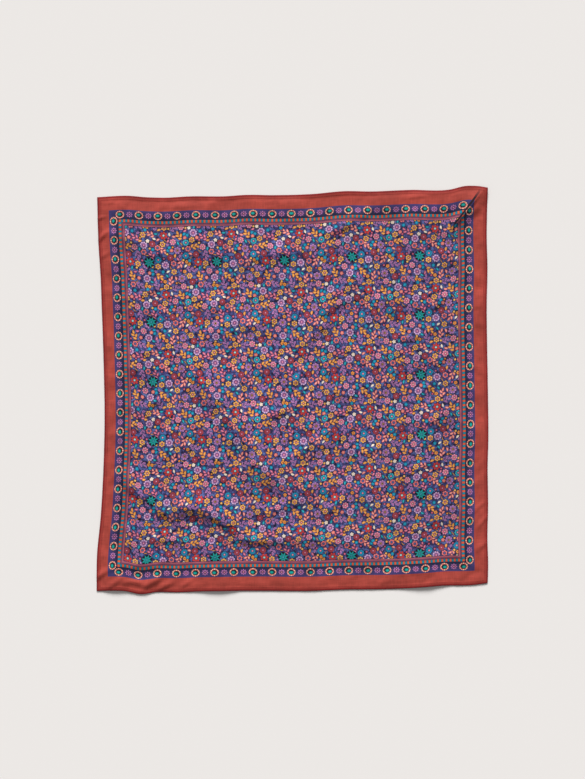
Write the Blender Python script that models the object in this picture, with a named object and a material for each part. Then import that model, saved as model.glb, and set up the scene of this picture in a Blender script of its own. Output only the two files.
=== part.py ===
"""A square printed cotton scarf with a narrow turned hem, laid out flat with its soft folds."""

import bmesh
import bpy
import numpy as np
from mathutils import Vector

# Finished corners of the scarf, in metres. The cloth lies a little askew: its right side sits higher.
CORNERS = {
    "bottom_left": Vector((-0.2750, -0.2820)),
    "bottom_right": Vector((0.2744, -0.2706)),
    "top_left": Vector((-0.2742, 0.2711)),
    "top_right": Vector((0.2744, 0.2841)),
}
PANEL_WALL = 0.0012  # the single cloth
HEM_WALL = 0.0020  # three layers, where the raw edge is turned under twice
HEM_WIDTH = 0.0055
SEAM_GAP = 0.0003
CELLS = 56  # squares along each side of the panel

MM = 0.001

# How far each edge runs outside the straight line between its corners, in mm.
# Columns: share of the way along, distance outward. The sides run upward, the other two to the right.
EDGES = {
    "bottom": (
        (0.000, 0.0),
        (0.075, 1.3),
        (0.110, 5.8),
        (0.155, 3.4),
        (0.205, 4.4),
        (0.265, 3.7),
        (0.410, 4.5),
        (0.560, 6.3),
        (0.620, 5.5),
        (0.765, 5.8),
        (0.830, 4.4),
        (0.880, 2.8),
        (0.970, 2.4),
        (1.000, 0.3),
    ),
    "top": (
        (0.000, 0.0),
        (0.080, 0.9),
        (0.125, -1.6),
        (0.175, -2.9),
        (0.235, -1.9),
        (0.330, -2.9),
        (0.380, -1.7),
        (0.450, -3.0),
        (0.550, -2.7),
        (0.635, 0.3),
        (0.700, -1.0),
        (0.800, -0.2),
        (0.905, -0.8),
        (0.945, 3.6),
        (0.975, 2.9),
        (1.000, 0.3),
    ),
    "left": (
        (0.000, 0.0),
        (0.090, -0.5),
        (0.190, -5.7),
        (0.290, -8.9),
        (0.440, -10.9),
        (0.570, -9.6),
        (0.725, -6.6),
        (0.800, -5.0),
        (0.880, -2.0),
        (1.000, 0.0),
    ),
    "right": (
        (0.000, 0.0),
        (0.040, 0.6),
        (0.110, -0.4),
        (0.200, 0.5),
        (0.290, -0.1),
        (0.370, 0.9),
        (0.470, 0.4),
        (0.600, -0.8),
        (0.700, -1.4),
        (0.800, -0.4),
        (0.880, -1.4),
        (1.000, 0.0),
    ),
}

# The folds that raise the cloth, in mm. A fold runs from its start to its end, bowed sideways by "bow", and falls
# away over "left" and "right" of that way. It is highest halfway, and nothing beyond its ends.
FOLD_COLUMNS = ("start", "end", "bow", "height", "left", "right")
FOLDS = {
    "long_diagonal": ((-168, 76), (14, -164), -4, 6.0, 44, 30),
    "lower_left_dip": ((-262, -106), (-150, -188), -2, 4.2, 34, 15),
    "lower_left_rise": ((-200, -174), (-52, -216), 24, 6.2, 40, 18),
    "bottom_run": ((-120, -208), (150, -213), 1, 3.0, 28, 15),
    "bottom_left_tuck": ((-206, -213), (-150, -213), 2, 2.8, 20, 13),
    "top_right_arc": ((80, 226), (206, 98), 26, 2.6, 18, 34),
    "top_right_pleat": ((288, 304), (212, 212), 3, 4.8, 14, 20),
    "top_gather": ((38, 218), (104, 246), 2, 2.6, 18, 15),
    "top_left_run": ((-240, 210), (-150, 192), -7, 2.0, 20, 14),
    "upper_run": ((-76, 178), (16, 196), 5, 2.4, 20, 14),
    "left_shoulder": ((-126, 66), (16, 114), 4, 2.0, 24, 16),
    "left_step": ((-132, 96), (-84, 138), 4, 1.8, 18, 15),
    "middle_upper": ((4, 50), (118, 182), 6, 3.0, 22, 16),
    "middle_inner": ((-60, -44), (24, -10), -5, 2.4, 20, 15),
    "middle_lower": ((-30, -110), (86, -38), -5, 3.0, 22, 16),
    "lower_short": ((-44, -184), (18, -148), 3, 2.2, 18, 14),
    "right_side": ((168, -98), (224, 24), -6, 2.4, 20, 18),
    "edge_lift_left": ((-250, -338), (-246, -226), 0, 5.5, 24, 28),
    "edge_lift_middle": ((-106, -340), (-104, -222), 0, 5.0, 38, 38),
    "edge_lift_right": ((190, -330), (186, -218), 0, 6.0, 44, 40),
}


def smooth(table, share):
    """The table's value at a share, along a cubic whose slope at each row comes from the rows beside it."""
    shares, values = (np.array(column) for column in zip(*table))
    slopes = np.gradient(values, shares)
    row = int(np.clip(np.searchsorted(shares, share) - 1, 0, len(shares) - 2))
    step = shares[row + 1] - shares[row]
    u = (share - shares[row]) / step
    return float(
        values[row] * (1 + 2 * u) * (1 - u) ** 2
        + values[row + 1] * u**2 * (3 - 2 * u)
        + slopes[row] * step * u * (1 - u) ** 2
        - slopes[row + 1] * step * u**2 * (1 - u)
    )


def edge_point(name, first, last, outward, share):
    """A point on one edge of the cloth, which wanders from the straight line between two corners."""
    straight = CORNERS[first].lerp(CORNERS[last], share)
    return straight + Vector(outward) * smooth(EDGES[name], share) * MM


def plan_point(across, up):
    """Where a point of the cloth lies, seen from above. The four edges are blended across the square."""
    bottom = edge_point("bottom", "bottom_left", "bottom_right", (0, -1), across)
    top = edge_point("top", "top_left", "top_right", (0, 1), across)
    left = edge_point("left", "bottom_left", "top_left", (-1, 0), up)
    right = edge_point("right", "bottom_right", "top_right", (1, 0), up)
    low = CORNERS["bottom_left"].lerp(CORNERS["bottom_right"], across)
    high = CORNERS["top_left"].lerp(CORNERS["top_right"], across)
    return bottom.lerp(top, up) + left.lerp(right, across) - low.lerp(high, up)


def outline_middle():
    """The middle of the box round the whole outline, which becomes the origin."""
    steps = np.linspace(0, 1, CELLS * 4 + 1)
    outline = [plan_point(s, up) for s in steps for up in (0, 1)]
    outline += [plan_point(across, s) for s in steps for across in (0, 1)]
    xs, ys = zip(*outline)
    return Vector(((min(xs) + max(xs)) / 2, (min(ys) + max(ys)) / 2))


def fold_height(place, fold):
    """How far one fold lifts the cloth at a place in plan."""
    row = dict(zip(FOLD_COLUMNS, fold))
    start, end = Vector(row["start"]) * MM, Vector(row["end"]) * MM
    run = end - start
    offset = place - start
    share = offset.dot(run) / run.length_squared
    if not 0 < share < 1:
        return 0.0
    arch = 4 * share * (1 - share)
    aside = (run.x * offset.y - run.y * offset.x) / run.length - row["bow"] * MM * arch
    reach = (row["left"] if aside > 0 else row["right"]) * MM
    nearness = max(0.0, 1 - (aside / reach) ** 2)
    return row["height"] * MM * arch * nearness**2


def cloth_point(across, up, middle):
    """A point of the cloth's underside, which is flat on the ground between the folds."""
    place = plan_point(across, up)
    height = sum(fold_height(place, fold) for fold in FOLDS.values())
    return Vector((place.x - middle.x, place.y - middle.y, height))


def stations(first, last):
    """Shares along a side, at the same places for every piece, cut off at a piece's own two ends."""
    inner = [i / CELLS for i in range(1, CELLS)]
    return [first, *(share for share in inner if first < share < last), last]


def cloth_piece(name, across, up, wall, material, middle):
    """A stretch of the cloth, given as shares of its width and length, raised from its underside to a closed wall."""
    shape = bmesh.new()
    rows = [[shape.verts.new(cloth_point(s, t, middle)) for s in across] for t in up]
    for low, high in zip(rows, rows[1:]):
        for i in range(len(across) - 1):
            shape.faces.new((low[i], low[i + 1], high[i + 1], high[i]))
    lifted = bmesh.ops.extrude_face_region(shape, geom=shape.faces[:])["geom"]
    top = [item for item in lifted if isinstance(item, bmesh.types.BMVert)]
    bmesh.ops.translate(shape, vec=(0, 0, wall), verts=top)
    bmesh.ops.recalc_face_normals(shape, faces=shape.faces[:])
    mesh = bpy.data.meshes.new(name)
    shape.to_mesh(mesh)
    shape.free()
    mesh.materials.append(material)
    piece = bpy.data.objects.new(name, mesh)
    bpy.context.scene.collection.objects.link(piece)
    return piece


def cotton(name, colour, roughness):
    """Plain dyed cotton: no shine and no metal."""
    material = bpy.data.materials.new(name)
    material.use_nodes = True
    shader = material.node_tree.nodes["Principled BSDF"]
    shader.inputs["Base Color"].default_value = (*colour, 1)
    shader.inputs["Roughness"].default_value = roughness
    shader.inputs["Metallic"].default_value = 0
    return material


def build_scarf():
    for obj in list(bpy.data.objects):
        bpy.data.objects.remove(obj)

    print_cloth = cotton("printed_cotton", (0.17, 0.10, 0.16), 0.85)
    hem_cloth = cotton("hem_cotton", (0.37, 0.07, 0.055), 0.85)
    middle = outline_middle()

    width = (CORNERS["bottom_right"] - CORNERS["bottom_left"]).length
    length = (CORNERS["top_left"] - CORNERS["bottom_left"]).length
    hem_across, hem_up = HEM_WIDTH / width, HEM_WIDTH / length
    gap_across, gap_up = SEAM_GAP / width, SEAM_GAP / length

    # The top and bottom hems run the whole width, and the side hems and the panel fit between them.
    whole = stations(0, 1)
    between = stations(hem_up + gap_up, 1 - hem_up - gap_up)
    inside = stations(hem_across + gap_across, 1 - hem_across - gap_across)
    pieces = {
        "panel": (inside, between, PANEL_WALL, print_cloth),
        "hem_bottom": (whole, [0, hem_up], HEM_WALL, hem_cloth),
        "hem_top": (whole, [1 - hem_up, 1], HEM_WALL, hem_cloth),
        "hem_left": ([0, hem_across], between, HEM_WALL, hem_cloth),
        "hem_right": ([1 - hem_across, 1], between, HEM_WALL, hem_cloth),
    }
    for name, (across, up, wall, material) in pieces.items():
        cloth_piece(name, across, up, wall, material, middle)


build_scarf()
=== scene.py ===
import math
import random

import bpy
import numpy as np
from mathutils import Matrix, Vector, noise


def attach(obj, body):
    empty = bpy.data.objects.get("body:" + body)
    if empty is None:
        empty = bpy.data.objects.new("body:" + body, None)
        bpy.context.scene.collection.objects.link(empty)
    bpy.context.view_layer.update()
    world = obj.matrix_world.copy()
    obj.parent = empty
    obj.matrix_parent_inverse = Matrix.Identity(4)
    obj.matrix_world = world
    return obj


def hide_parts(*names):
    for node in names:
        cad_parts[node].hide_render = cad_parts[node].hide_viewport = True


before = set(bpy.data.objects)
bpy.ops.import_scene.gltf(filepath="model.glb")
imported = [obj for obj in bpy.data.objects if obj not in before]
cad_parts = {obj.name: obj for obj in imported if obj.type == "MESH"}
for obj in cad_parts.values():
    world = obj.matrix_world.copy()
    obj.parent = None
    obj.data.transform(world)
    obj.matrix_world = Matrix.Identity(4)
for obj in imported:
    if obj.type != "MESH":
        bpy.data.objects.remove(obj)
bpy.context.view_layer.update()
mm = 0.001
print("frame loaded:", ", ".join(sorted(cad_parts)))

# the scarf seen from above, in mm: its right side sits a little higher
scarf = {
    "bottomLeft": (-275.0, -282.0),
    "bottomRight": (274.4, -270.6),
    "topLeft": (-274.2, 271.1),
    "topRight": (274.4, 284.1),
    "outlineSteps": 225,  # places looked at along each edge to find the middle
    "hemWidth": 5.5,
    "turnedIn": 10.0,  # cloth turned under along each side, in two turns
    "clothThickness": 0.35,
    "tapeThickness": 0.6,
    "clearance": 0.04,  # between the cloth and the turned edge under it
    "restLift": 1.9,  # how far the cloth floats over the ground between its folds
}
scarf["width"] = math.dist(scarf["bottomLeft"], scarf["bottomRight"])
scarf["length"] = math.dist(scarf["bottomLeft"], scarf["topLeft"])

# how far each edge runs outside the straight line between its corners
# share of the way along, mm outward; the sides run upward, the other two to the right
edges = {
    "bottom": (
        (0.000, 0.0), (0.075, 1.3), (0.110, 5.8), (0.155, 3.4), (0.205, 4.4), (0.265, 3.7), (0.410, 4.5),
        (0.560, 6.3), (0.620, 5.5), (0.765, 5.8), (0.830, 4.4), (0.880, 2.8), (0.970, 2.4), (1.000, 0.3),
    ),
    "top": (
        (0.000, 0.0), (0.080, 0.9), (0.125, -1.6), (0.175, -2.9), (0.235, -1.9), (0.330, -2.9),
        (0.380, -1.7), (0.450, -3.0), (0.550, -2.7), (0.635, 0.3), (0.700, -1.0), (0.800, -0.2),
        (0.905, -0.8), (0.945, 3.6), (0.975, 2.9), (1.000, 0.3),
    ),
    "left": (
        (0.000, 0.0), (0.090, -0.5), (0.190, -5.7), (0.290, -8.9), (0.440, -10.9), (0.570, -9.6),
        (0.725, -6.6), (0.800, -5.0), (0.880, -2.0), (1.000, 0.0),
    ),
    "right": (
        (0.000, 0.0), (0.040, 0.6), (0.110, -0.4), (0.200, 0.5), (0.290, -0.1), (0.370, 0.9),
        (0.470, 0.4), (0.600, -0.8), (0.700, -1.4), (0.800, -0.4), (0.880, -1.4), (1.000, 0.0),
    ),
}

# each fold runs from its start to its end, bowed sideways by "bow", and falls away over "left" and "right"
# of that way; a negative height is a trough, and "pinch" draws the cloth in from both sides
foldColumns = ("start", "end", "bow", "height", "left", "right", "pinch")
folds = {
    "longDiagonal": ((-168, 76), (14, -164), -4, 6.0, 44, 30, 1.5),
    "lowerLeftDip": ((-262, -106), (-150, -188), -2, 4.2, 34, 15, 1.5),
    "lowerLeftRise": ((-200, -174), (-52, -216), 24, 6.2, 40, 18, 1.5),
    "bottomRun": ((-120, -208), (150, -213), 1, 2.0, 28, 15, 1.0),
    "bottomLeftTuck": ((-206, -213), (-150, -213), 2, 2.8, 20, 13, 1.0),
    "topRightArc": ((80, 226), (206, 98), 26, 1.2, 32, 34, 1.0),
    "topRightPleat": ((288, 304), (212, 212), 3, 4.8, 14, 20, 0.0),
    "topGather": ((38, 218), (104, 246), 2, 2.6, 18, 15, 0.5),
    "topLeftRun": ((-240, 210), (-150, 192), -7, 2.0, 20, 14, 0.5),
    "upperRun": ((-76, 178), (16, 196), 5, 2.4, 20, 14, 0.5),
    "leftShoulder": ((-126, 66), (16, 114), 4, 2.0, 24, 16, 0.5),
    "leftStep": ((-132, 96), (-84, 138), 4, 1.8, 18, 15, 0.5),
    "middleUpper": ((4, 50), (118, 182), 6, 3.0, 22, 16, 0.5),
    "middleInner": ((-60, -44), (24, -10), -5, 2.4, 20, 15, 0.5),
    "middleLower": ((-30, -110), (86, -38), -5, 3.0, 22, 16, 0.5),
    "lowerShort": ((-44, -184), (18, -148), 3, 2.2, 18, 14, 0.5),
    "rightSide": ((168, -98), (224, 24), -6, 2.4, 20, 18, 0.5),
    "edgeLiftLeft": ((-250, -338), (-246, -226), 0, 2.4, 24, 28, 0.0),
    "edgeLiftMiddle": ((-106, -340), (-104, -222), 0, 2.8, 38, 38, 0.0),
    "edgeLiftRight": ((190, -330), (186, -218), 0, 3.4, 44, 40, 0.0),
}
# the finer creases between and on them, in the same columns
creases = {
    "pleatLine": ((270, 284), (222, 224), 1, 3.2, 2.8, 9, 1.6),
    "pleatShade": ((266, 278), (222, 222), 1, -1.0, 9, 2, 0.0),
    "diagonalTop": ((-160, 60), (-98, -30), -2, 0.5, 10, 9, 0.3),
    "diagonalCrest": ((-152, 50), (-40, -104), -2, 1.0, 7, 12, 0.2),
    "diagonalFoot": ((-92, -46), (18, -176), -3, 1.2, 14, 20, 0.3),
    "dipLine": ((-240, -128), (-176, -178), 0, 1.0, 12, 8, 0.5),
    "riseLine": ((-190, -172), (-92, -196), 20, 1.6, 14, 10, 0.6),
    "riseTail": ((-116, -180), (-46, -218), 1, 1.2, 12, 9, 0.3),
    "bottomLineLeft": ((-104, -211), (2, -213), 1, 2.6, 12, 9, 0.4),
    "bottomLineRight": ((10, -213), (158, -216), -2, 0.7, 8, 5, 0.3),
    "bottomTwin": ((96, -206), (140, -208), 1, 0.9, 8, 4, 0.3),
    "tuckLine": ((-212, -210), (-140, -212), 1, 1.8, 12, 8, 0.4),
    "tuckLower": ((-216, -240), (-196, -246), 1, 0.9, 5, 3, 0.2),
    "tuckUpper": ((-176, -196), (-132, -206), 2, 0.9, 9, 4, 0.2),
    "arcLine": ((88, 232), (212, 98), 33, 1.7, 20, 6, 0.4),
    "arcStart": ((60, 246), (128, 236), 4, 0.9, 8, 4, 0.2),
    "gatherSpot": ((46, 216), (90, 236), 1, 2.8, 9, 7, 0.3),
    "gatherUpper": ((30, 232), (70, 262), -2, 0.7, 7, 4, 0.2),
    "upperLine": ((-70, 176), (4, 192), 5, 1.1, 10, 5, 0.2),
    "leftRunLine": ((-262, 222), (-192, 196), 0, 1.9, 10, 6, 0.2),
    "stepLine": ((-116, 102), (-96, 132), 1, 1.2, 8, 5, 0.2),
    "shoulderLine": ((-88, 76), (6, 112), 3, 0.6, 10, 6, 0.2),
    "middleLine": ((16, 62), (66, 102), 2, 1.1, 9, 5, 0.2),
    "middleHigh": ((50, 110), (100, 132), 4, 1.3, 9, 5, 0.2),
    "middleCrest": ((96, 128), (110, 180), -2, 0.8, 8, 6, 0.2),
    "middleSmall": ((-6, -2), (24, 32), 2, 2.0, 9, 6, 0.2),
    "innerLine": ((-58, -42), (6, -18), -5, 1.4, 10, 5, 0.2),
    "innerLow": ((-26, -76), (2, -64), 1, 1.3, 8, 5, 0.2),
    "lowerLine": ((-14, -98), (62, -42), -8, 1.5, 10, 6, 0.2),
    "lowerReach": ((56, -48), (84, -16), 2, 0.9, 9, 5, 0.2),
    "shortLine": ((-50, -180), (32, -156), 5, 1.3, 10, 6, 0.2),
    "shortTwin": ((44, -176), (80, -152), 3, 2.3, 9, 6, 0.2),
    "slantNear": ((74, -72), (116, -12), 2, 1.2, 9, 6, 0.1),
    "slantFar": ((98, -80), (134, -20), -2, 0.9, 9, 6, 0.1),
    "spotRight": ((98, -90), (132, -78), 1, 2.9, 9, 7, 0.2),
    "spotMiddle": ((58, 46), (84, 54), 1, 1.1, 8, 5, 0.1),
    "spotFar": ((142, 70), (188, 76), 1, 2.8, 9, 7, 0.2),
    "sideHigh": ((194, 112), (224, 140), 1, 3.4, 10, 8, 0.2),
    "sideLow": ((188, -52), (230, -24), 2, 2.3, 9, 6, 0.2),
    "sideFoot": ((202, -142), (226, -106), 1, 2.6, 9, 7, 0.2),
    "sideMiddle": ((176, -16), (202, 16), 1, 2.6, 9, 7, 0.2),
    "sideNear": ((196, 36), (226, 56), 0, 2.9, 9, 8, 0.2),
    "sideStep": ((164, -118), (198, -98), 1, 1.6, 8, 6, 0.2),
    "rightLine": ((166, -92), (206, -58), 1, 2.2, 8, 6, 0.2),
    "leftHigh": ((-214, 128), (-186, 148), 1, 2.5, 8, 7, 0.2),
    "leftMiddle": ((-216, 48), (-192, 56), 1, 1.5, 8, 6, 0.1),
    "leftLow": ((-216, -30), (-178, -12), 2, 2.1, 10, 7, 0.2),
    "leftFoot": ((-210, -102), (-138, -76), -4, 1.1, 10, 6, 0.2),
    "leftStreak": ((-130, -140), (-90, -84), 3, 1.0, 11, 7, 0.2),
    "bandLeftTop": ((-278, 238), (-260, 244), 1, 1.6, 4, 3, 0.1),
    "bandLeftFoot": ((-280, -268), (-252, -248), 1, 2.8, 5, 6, 0.1),
    "bandRightLow": ((257, -198), (276, -175), 1, 2.0, 5, 4, 0.1),
    "bandBottomLeft": ((-262, -280), (-236, -262), 1, 2.4, 5, 5, 0.2),
    "bandBottomArc": ((-244, -272), (-202, -276), 5, 2.8, 6, 5, 0.2),
    "bandBottomDeep": ((-214, -280), (-182, -262), 1, 3.6, 8, 6, 0.2),
    "bandBottomEnd": ((-160, -280), (-140, -266), 1, 1.9, 5, 4, 0.1),
    "bandBottomNext": ((-192, -282), (-164, -268), 1, 2.8, 6, 5, 0.2),
    "bandBottomFold": ((-232, -282), (-198, -286), 1, 1.0, 6, 5, 0.1),
    "stripeShade": ((-256, -244), (-182, -247), -1, 2.4, 14, 9, 0.3),
    "bandLeftMiddle": ((-273, 208), (-257, 226), 1, 2.6, 5, 4, 0.1),
    "bandLeftNext": ((-270, 184), (-254, 195), 1, 1.8, 5, 4, 0.1),
    "bandRightNext": ((254, -173), (273, -155), 1, 1.6, 5, 4, 0.1),
    "bandRightFoot": ((256, -228), (275, -212), 1, 1.8, 7, 5, 0.1),
    "bandBottomFar": ((120, -262), (190, -256), 3, 1.1, 8, 5, 0.2),
    "bandTopRight": ((150, 268), (238, 276), 3, 1.1, 8, 5, 0.2),
    "bandTopLeft": ((-196, 258), (-120, 262), -2, 1.0, 8, 5, 0.2),
}

# the faint crumpling between the folds: ridges along "turn" degrees, or pillows where the height is negative
crumple = {
    "sets": (
        {"turn": 50, "length": 32, "width": 18, "height": -0.7, "layer": 3.7},
        {"turn": -40, "length": 30, "width": 20, "height": 0.5, "layer": 11.2},
        {"turn": 12, "length": 80, "width": 60, "height": 1.8, "layer": 19.5},
    ),
    "fractal": (1.0, 2.1, 2),  # how fast the octaves fade, how much finer each one is, how many
    "calmWithin": 9,  # mm from the edge over which the hem's weight flattens it
    "calmest": 0.25,  # the share that is left at the very edge
    "settle": 0.5,  # mm over which a low place eases onto the ground
}
# short soft creases between them, turning steeper toward the right side
shortCreases = {
    "count": 330,
    "seed": 8,
    "reach": 270,
    "length": (14, 38),
    "height": (0.2, 0.7),
    "left": (6, 11),
    "right": (4, 7),
    "turn": (34, 68),
    "spread": 17,
    "bow": 0.12,  # share of the crease's half length
    "pinch": 0.1,
    "clearOf": ((-150, 40), (14, -170), 24),  # from, to and mm kept clear on both sides
}
hemShape = {
    "step": (0.3, 0.8),  # how far past the hem the cloth steps down, and over how many mm
    "stitchInset": 4.8,
    "stitchDip": 0.22,
    "stitchWidth": 0.5,
    "puckerPitch": 9.0,
    "puckerHeight": 0.16,
    "puckerLayer": (0.5, 2.0),
    "roundOver": 0.9,  # mm over which the folded edge curls down
    "steepest": 0.999,  # just under 1, so that its last step isn't upright
    "lowest": 0.02,
}


def smoothAlong(table, shares):
    # a cubic whose slope at each row comes from the rows beside it
    at, outward = (np.array(column, float) for column in zip(*table))
    slopes = np.gradient(outward, at)
    row = np.clip(np.searchsorted(at, shares) - 1, 0, len(at) - 2)
    step = at[row + 1] - at[row]
    u = (shares - at[row]) / step
    return (
        outward[row] * (1 + 2 * u) * (1 - u) ** 2
        + outward[row + 1] * u**2 * (3 - 2 * u)
        + slopes[row] * step * u * (1 - u) ** 2
        - slopes[row + 1] * step * u**2 * (1 - u)
    )


def between(first, last, shares):
    first, last = np.array(scarf[first]), np.array(scarf[last])
    return first + (last - first) * shares[:, None]


def planOf(across, up):
    # the four edges are blended across the square
    low, high = between("bottomLeft", "bottomRight", across), between("topLeft", "topRight", across)
    left, right = between("bottomLeft", "topLeft", up), between("bottomRight", "topRight", up)
    straight = low * (1 - up)[:, None] + high * up[:, None]
    low[:, 1] -= smoothAlong(edges["bottom"], across)
    high[:, 1] += smoothAlong(edges["top"], across)
    left[:, 0] -= smoothAlong(edges["left"], up)
    right[:, 0] += smoothAlong(edges["right"], up)
    rows = low * (1 - up)[:, None] + high * up[:, None]
    columns = left * (1 - across)[:, None] + right * across[:, None]
    return rows + columns - straight


def outlineMiddle():
    steps = np.linspace(0, 1, scarf["outlineSteps"])
    ends = (np.zeros_like(steps), np.ones_like(steps))
    outline = np.concatenate([planOf(steps, end) for end in ends] + [planOf(end, steps) for end in ends])
    return (outline.min(axis=0) + outline.max(axis=0)) / 2


middle = outlineMiddle()


def foldParts(place, row):
    # how far up and how far sideways one fold moves the cloth at each place
    run = np.subtract(row["end"], row["start"]).astype(float)
    length = math.hypot(*run)
    offset = place - np.array(row["start"], float)
    share = offset @ run / length**2
    arch = np.clip(4 * share * (1 - share), 0, None)
    sideways = np.array((-run[1], run[0])) / length
    aside = offset @ sideways - row["bow"] * arch
    reach = np.where(aside > 0, row["left"], row["right"])
    nearness = np.clip(1 - (aside / reach) ** 2, 0, None) ** 2
    draw = -row["pinch"] * arch * nearness * aside / reach * 2
    return row["height"] * arch * nearness, draw[:, None] * sideways


def scatteredCreases():
    draw = random.Random(shortCreases["seed"])
    rows = []
    clearFrom, clearTo, clearWidth = shortCreases["clearOf"]
    run = np.subtract(clearTo, clearFrom)
    while len(rows) < shortCreases["count"]:
        x, y = (draw.uniform(-1, 1) * shortCreases["reach"] for _ in range(2))
        share = np.clip(np.subtract((x, y), clearFrom) @ run / (run @ run), 0, 1)
        if math.dist((x, y), clearFrom + share * run) < clearWidth:
            continue
        first, last = shortCreases["turn"]
        across = (x / shortCreases["reach"] + 1) / 2
        turn = math.radians(first + (last - first) * across**2 + draw.gauss(0, 1) * shortCreases["spread"])
        half = draw.uniform(*shortCreases["length"]) / 2
        dx, dy = math.cos(turn) * half, math.sin(turn) * half
        low, high = shortCreases["height"]
        height = low + (high - low) * draw.random() ** 2
        left, right = draw.uniform(*shortCreases["left"]), draw.uniform(*shortCreases["right"])
        bow = draw.uniform(-shortCreases["bow"], shortCreases["bow"]) * half
        ends = (x - dx, y - dy), (x + dx, y + dy)
        rows.append((*ends, bow, height, left, right, shortCreases["pinch"]))
    return rows


def crumpleAt(place):
    total = np.zeros(len(place))
    for ridge in crumple["sets"]:
        turn = math.radians(ridge["turn"])
        along = (place @ np.array((math.cos(turn), math.sin(turn)))) / ridge["length"]
        over = (place @ np.array((-math.sin(turn), math.cos(turn)))) / ridge["width"]
        ridged = [
            1 - abs(noise.fractal(Vector((a, b, ridge["layer"])), *crumple["fractal"])) * 2
            for a, b in zip(along, over)
        ]
        total += ridge["height"] * (np.array(ridged) - 0.5)
    return total


scattered = scatteredCreases()


def clothUnderside(across, up):
    # points of the cloth's underside, in mm
    place = planOf(across, up)
    fromSides = np.minimum(across, 1 - across) * scarf["width"]
    inset = np.minimum(fromSides, np.minimum(up, 1 - up) * scarf["length"])
    lift, shift = np.zeros(len(place)), np.zeros_like(place)
    for fold in (*folds.values(), *creases.values(), *scattered):
        row = dict(zip(foldColumns, fold))
        centre = np.add(row["start"], row["end"]) / 2
        away = math.dist(row["start"], row["end"]) / 2 + abs(row["bow"]) + max(row["left"], row["right"])
        near = np.nonzero(np.abs(place - centre).max(axis=1) < away)[0]
        if len(near):
            raised, drawn = foldParts(place[near], row)
            lift[near] += raised
            shift[near] += drawn
    free = np.clip(inset / crumple["calmWithin"], crumple["calmest"], 1)
    lift += (scarf["restLift"] + crumpleAt(place)) * free
    stepOut, stepOver = hemShape["step"]
    onHem = np.clip((scarf["hemWidth"] + stepOut - inset) / stepOver, 0, 1)
    edgeRun = (place[:, 0] + place[:, 1]) / hemShape["puckerPitch"]
    ripple = np.array([noise.noise(Vector((run, *hemShape["puckerLayer"]))) for run in edgeRun])
    ground = (lift + np.sqrt(lift**2 + crumple["settle"] ** 2)) / 2
    raised = scarf["tapeThickness"] + 2 * scarf["clearance"] + ripple * hemShape["puckerHeight"]
    height = ground + onHem * raised
    offStitches = (inset - hemShape["stitchInset"]) / hemShape["stitchWidth"]
    dip = np.exp(-(offStitches**2)) * hemShape["stitchDip"]
    curl = np.clip(1 - inset / hemShape["roundOver"], 0, 1)
    fall = (scarf["tapeThickness"] + scarf["clearance"]) * (1 - np.sqrt(1 - curl**2 * hemShape["steepest"]))
    height = np.clip(height - dip - fall, hemShape["lowest"], None)
    return np.column_stack([place + shift - middle, height]), ground


# the printed cloth's dyes, as the eye names them (0 to 255)
dyes = {
    "red": (170, 67, 56),
    "deepRed": (128, 24, 26),
    "shadow": (30, 10, 22),
    "indigo": (64, 56, 108),
    "slate": (76, 92, 150),
    "paleSlate": (98, 112, 168),
    "peacock": (14, 140, 178),
    "navy": (30, 32, 62),
    "ink": (12, 12, 34),
    "plum": (92, 44, 84),
    "heather": (112, 62, 86),
    "oldRose": (164, 84, 98),
    "flame": (214, 88, 50),
    "orchid": (172, 108, 162),
    "lilac": (180, 126, 180),
    "paleLilac": (212, 172, 211),
    "mauve": (142, 78, 138),
    "pink": (237, 150, 172),
    "rose": (198, 92, 122),
    "brick": (172, 58, 56),
    "scarlet": (210, 58, 50),
    "coral": (233, 121, 122),
    "peach": (250, 185, 158),
    "orange": (234, 146, 66),
    "gold": (239, 180, 96),
    "brown": (120, 62, 50),
    "cream": (244, 226, 204),
    "teal": (0, 128, 150),
    "cyan": (60, 184, 200),
    "paleCyan": (160, 222, 226),
    "sea": (0, 136, 126),
    "jade": (8, 158, 152),
    "deepSea": (4, 50, 58),
}


def dye(name):
    # the dye as the linear light that Blender mixes
    parts = [value / 255 for value in dyes[name]]
    return (*(p / 12.92 if p < 0.04045 else ((p + 0.055) / 1.055) ** 2.4 for p in parts), 1.0)


# the field's small flowers, in mm. Rings run from the middle outward: (dye, share of the radius)
fieldRepeat = {
    "width": 96.0,
    "height": 83.0,
    "seed": 11,
    "tries": 70,  # places tried for each motif
    "alikeWithin": 22.0,
    "alikeCosts": 2.0,  # mm of room that one more of its own kind nearby takes off a place
    "rounds": 60,  # times that the crowded motifs are pushed apart
    "gap": 0.5,
    "outline": 0.93,
    "bloomAt": (70.0, 47.0),
    "bloomTurn": 0.4,
    "bloomDepth": 95.0,  # mm in from the print's edge, past which there are no blooms
}
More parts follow.
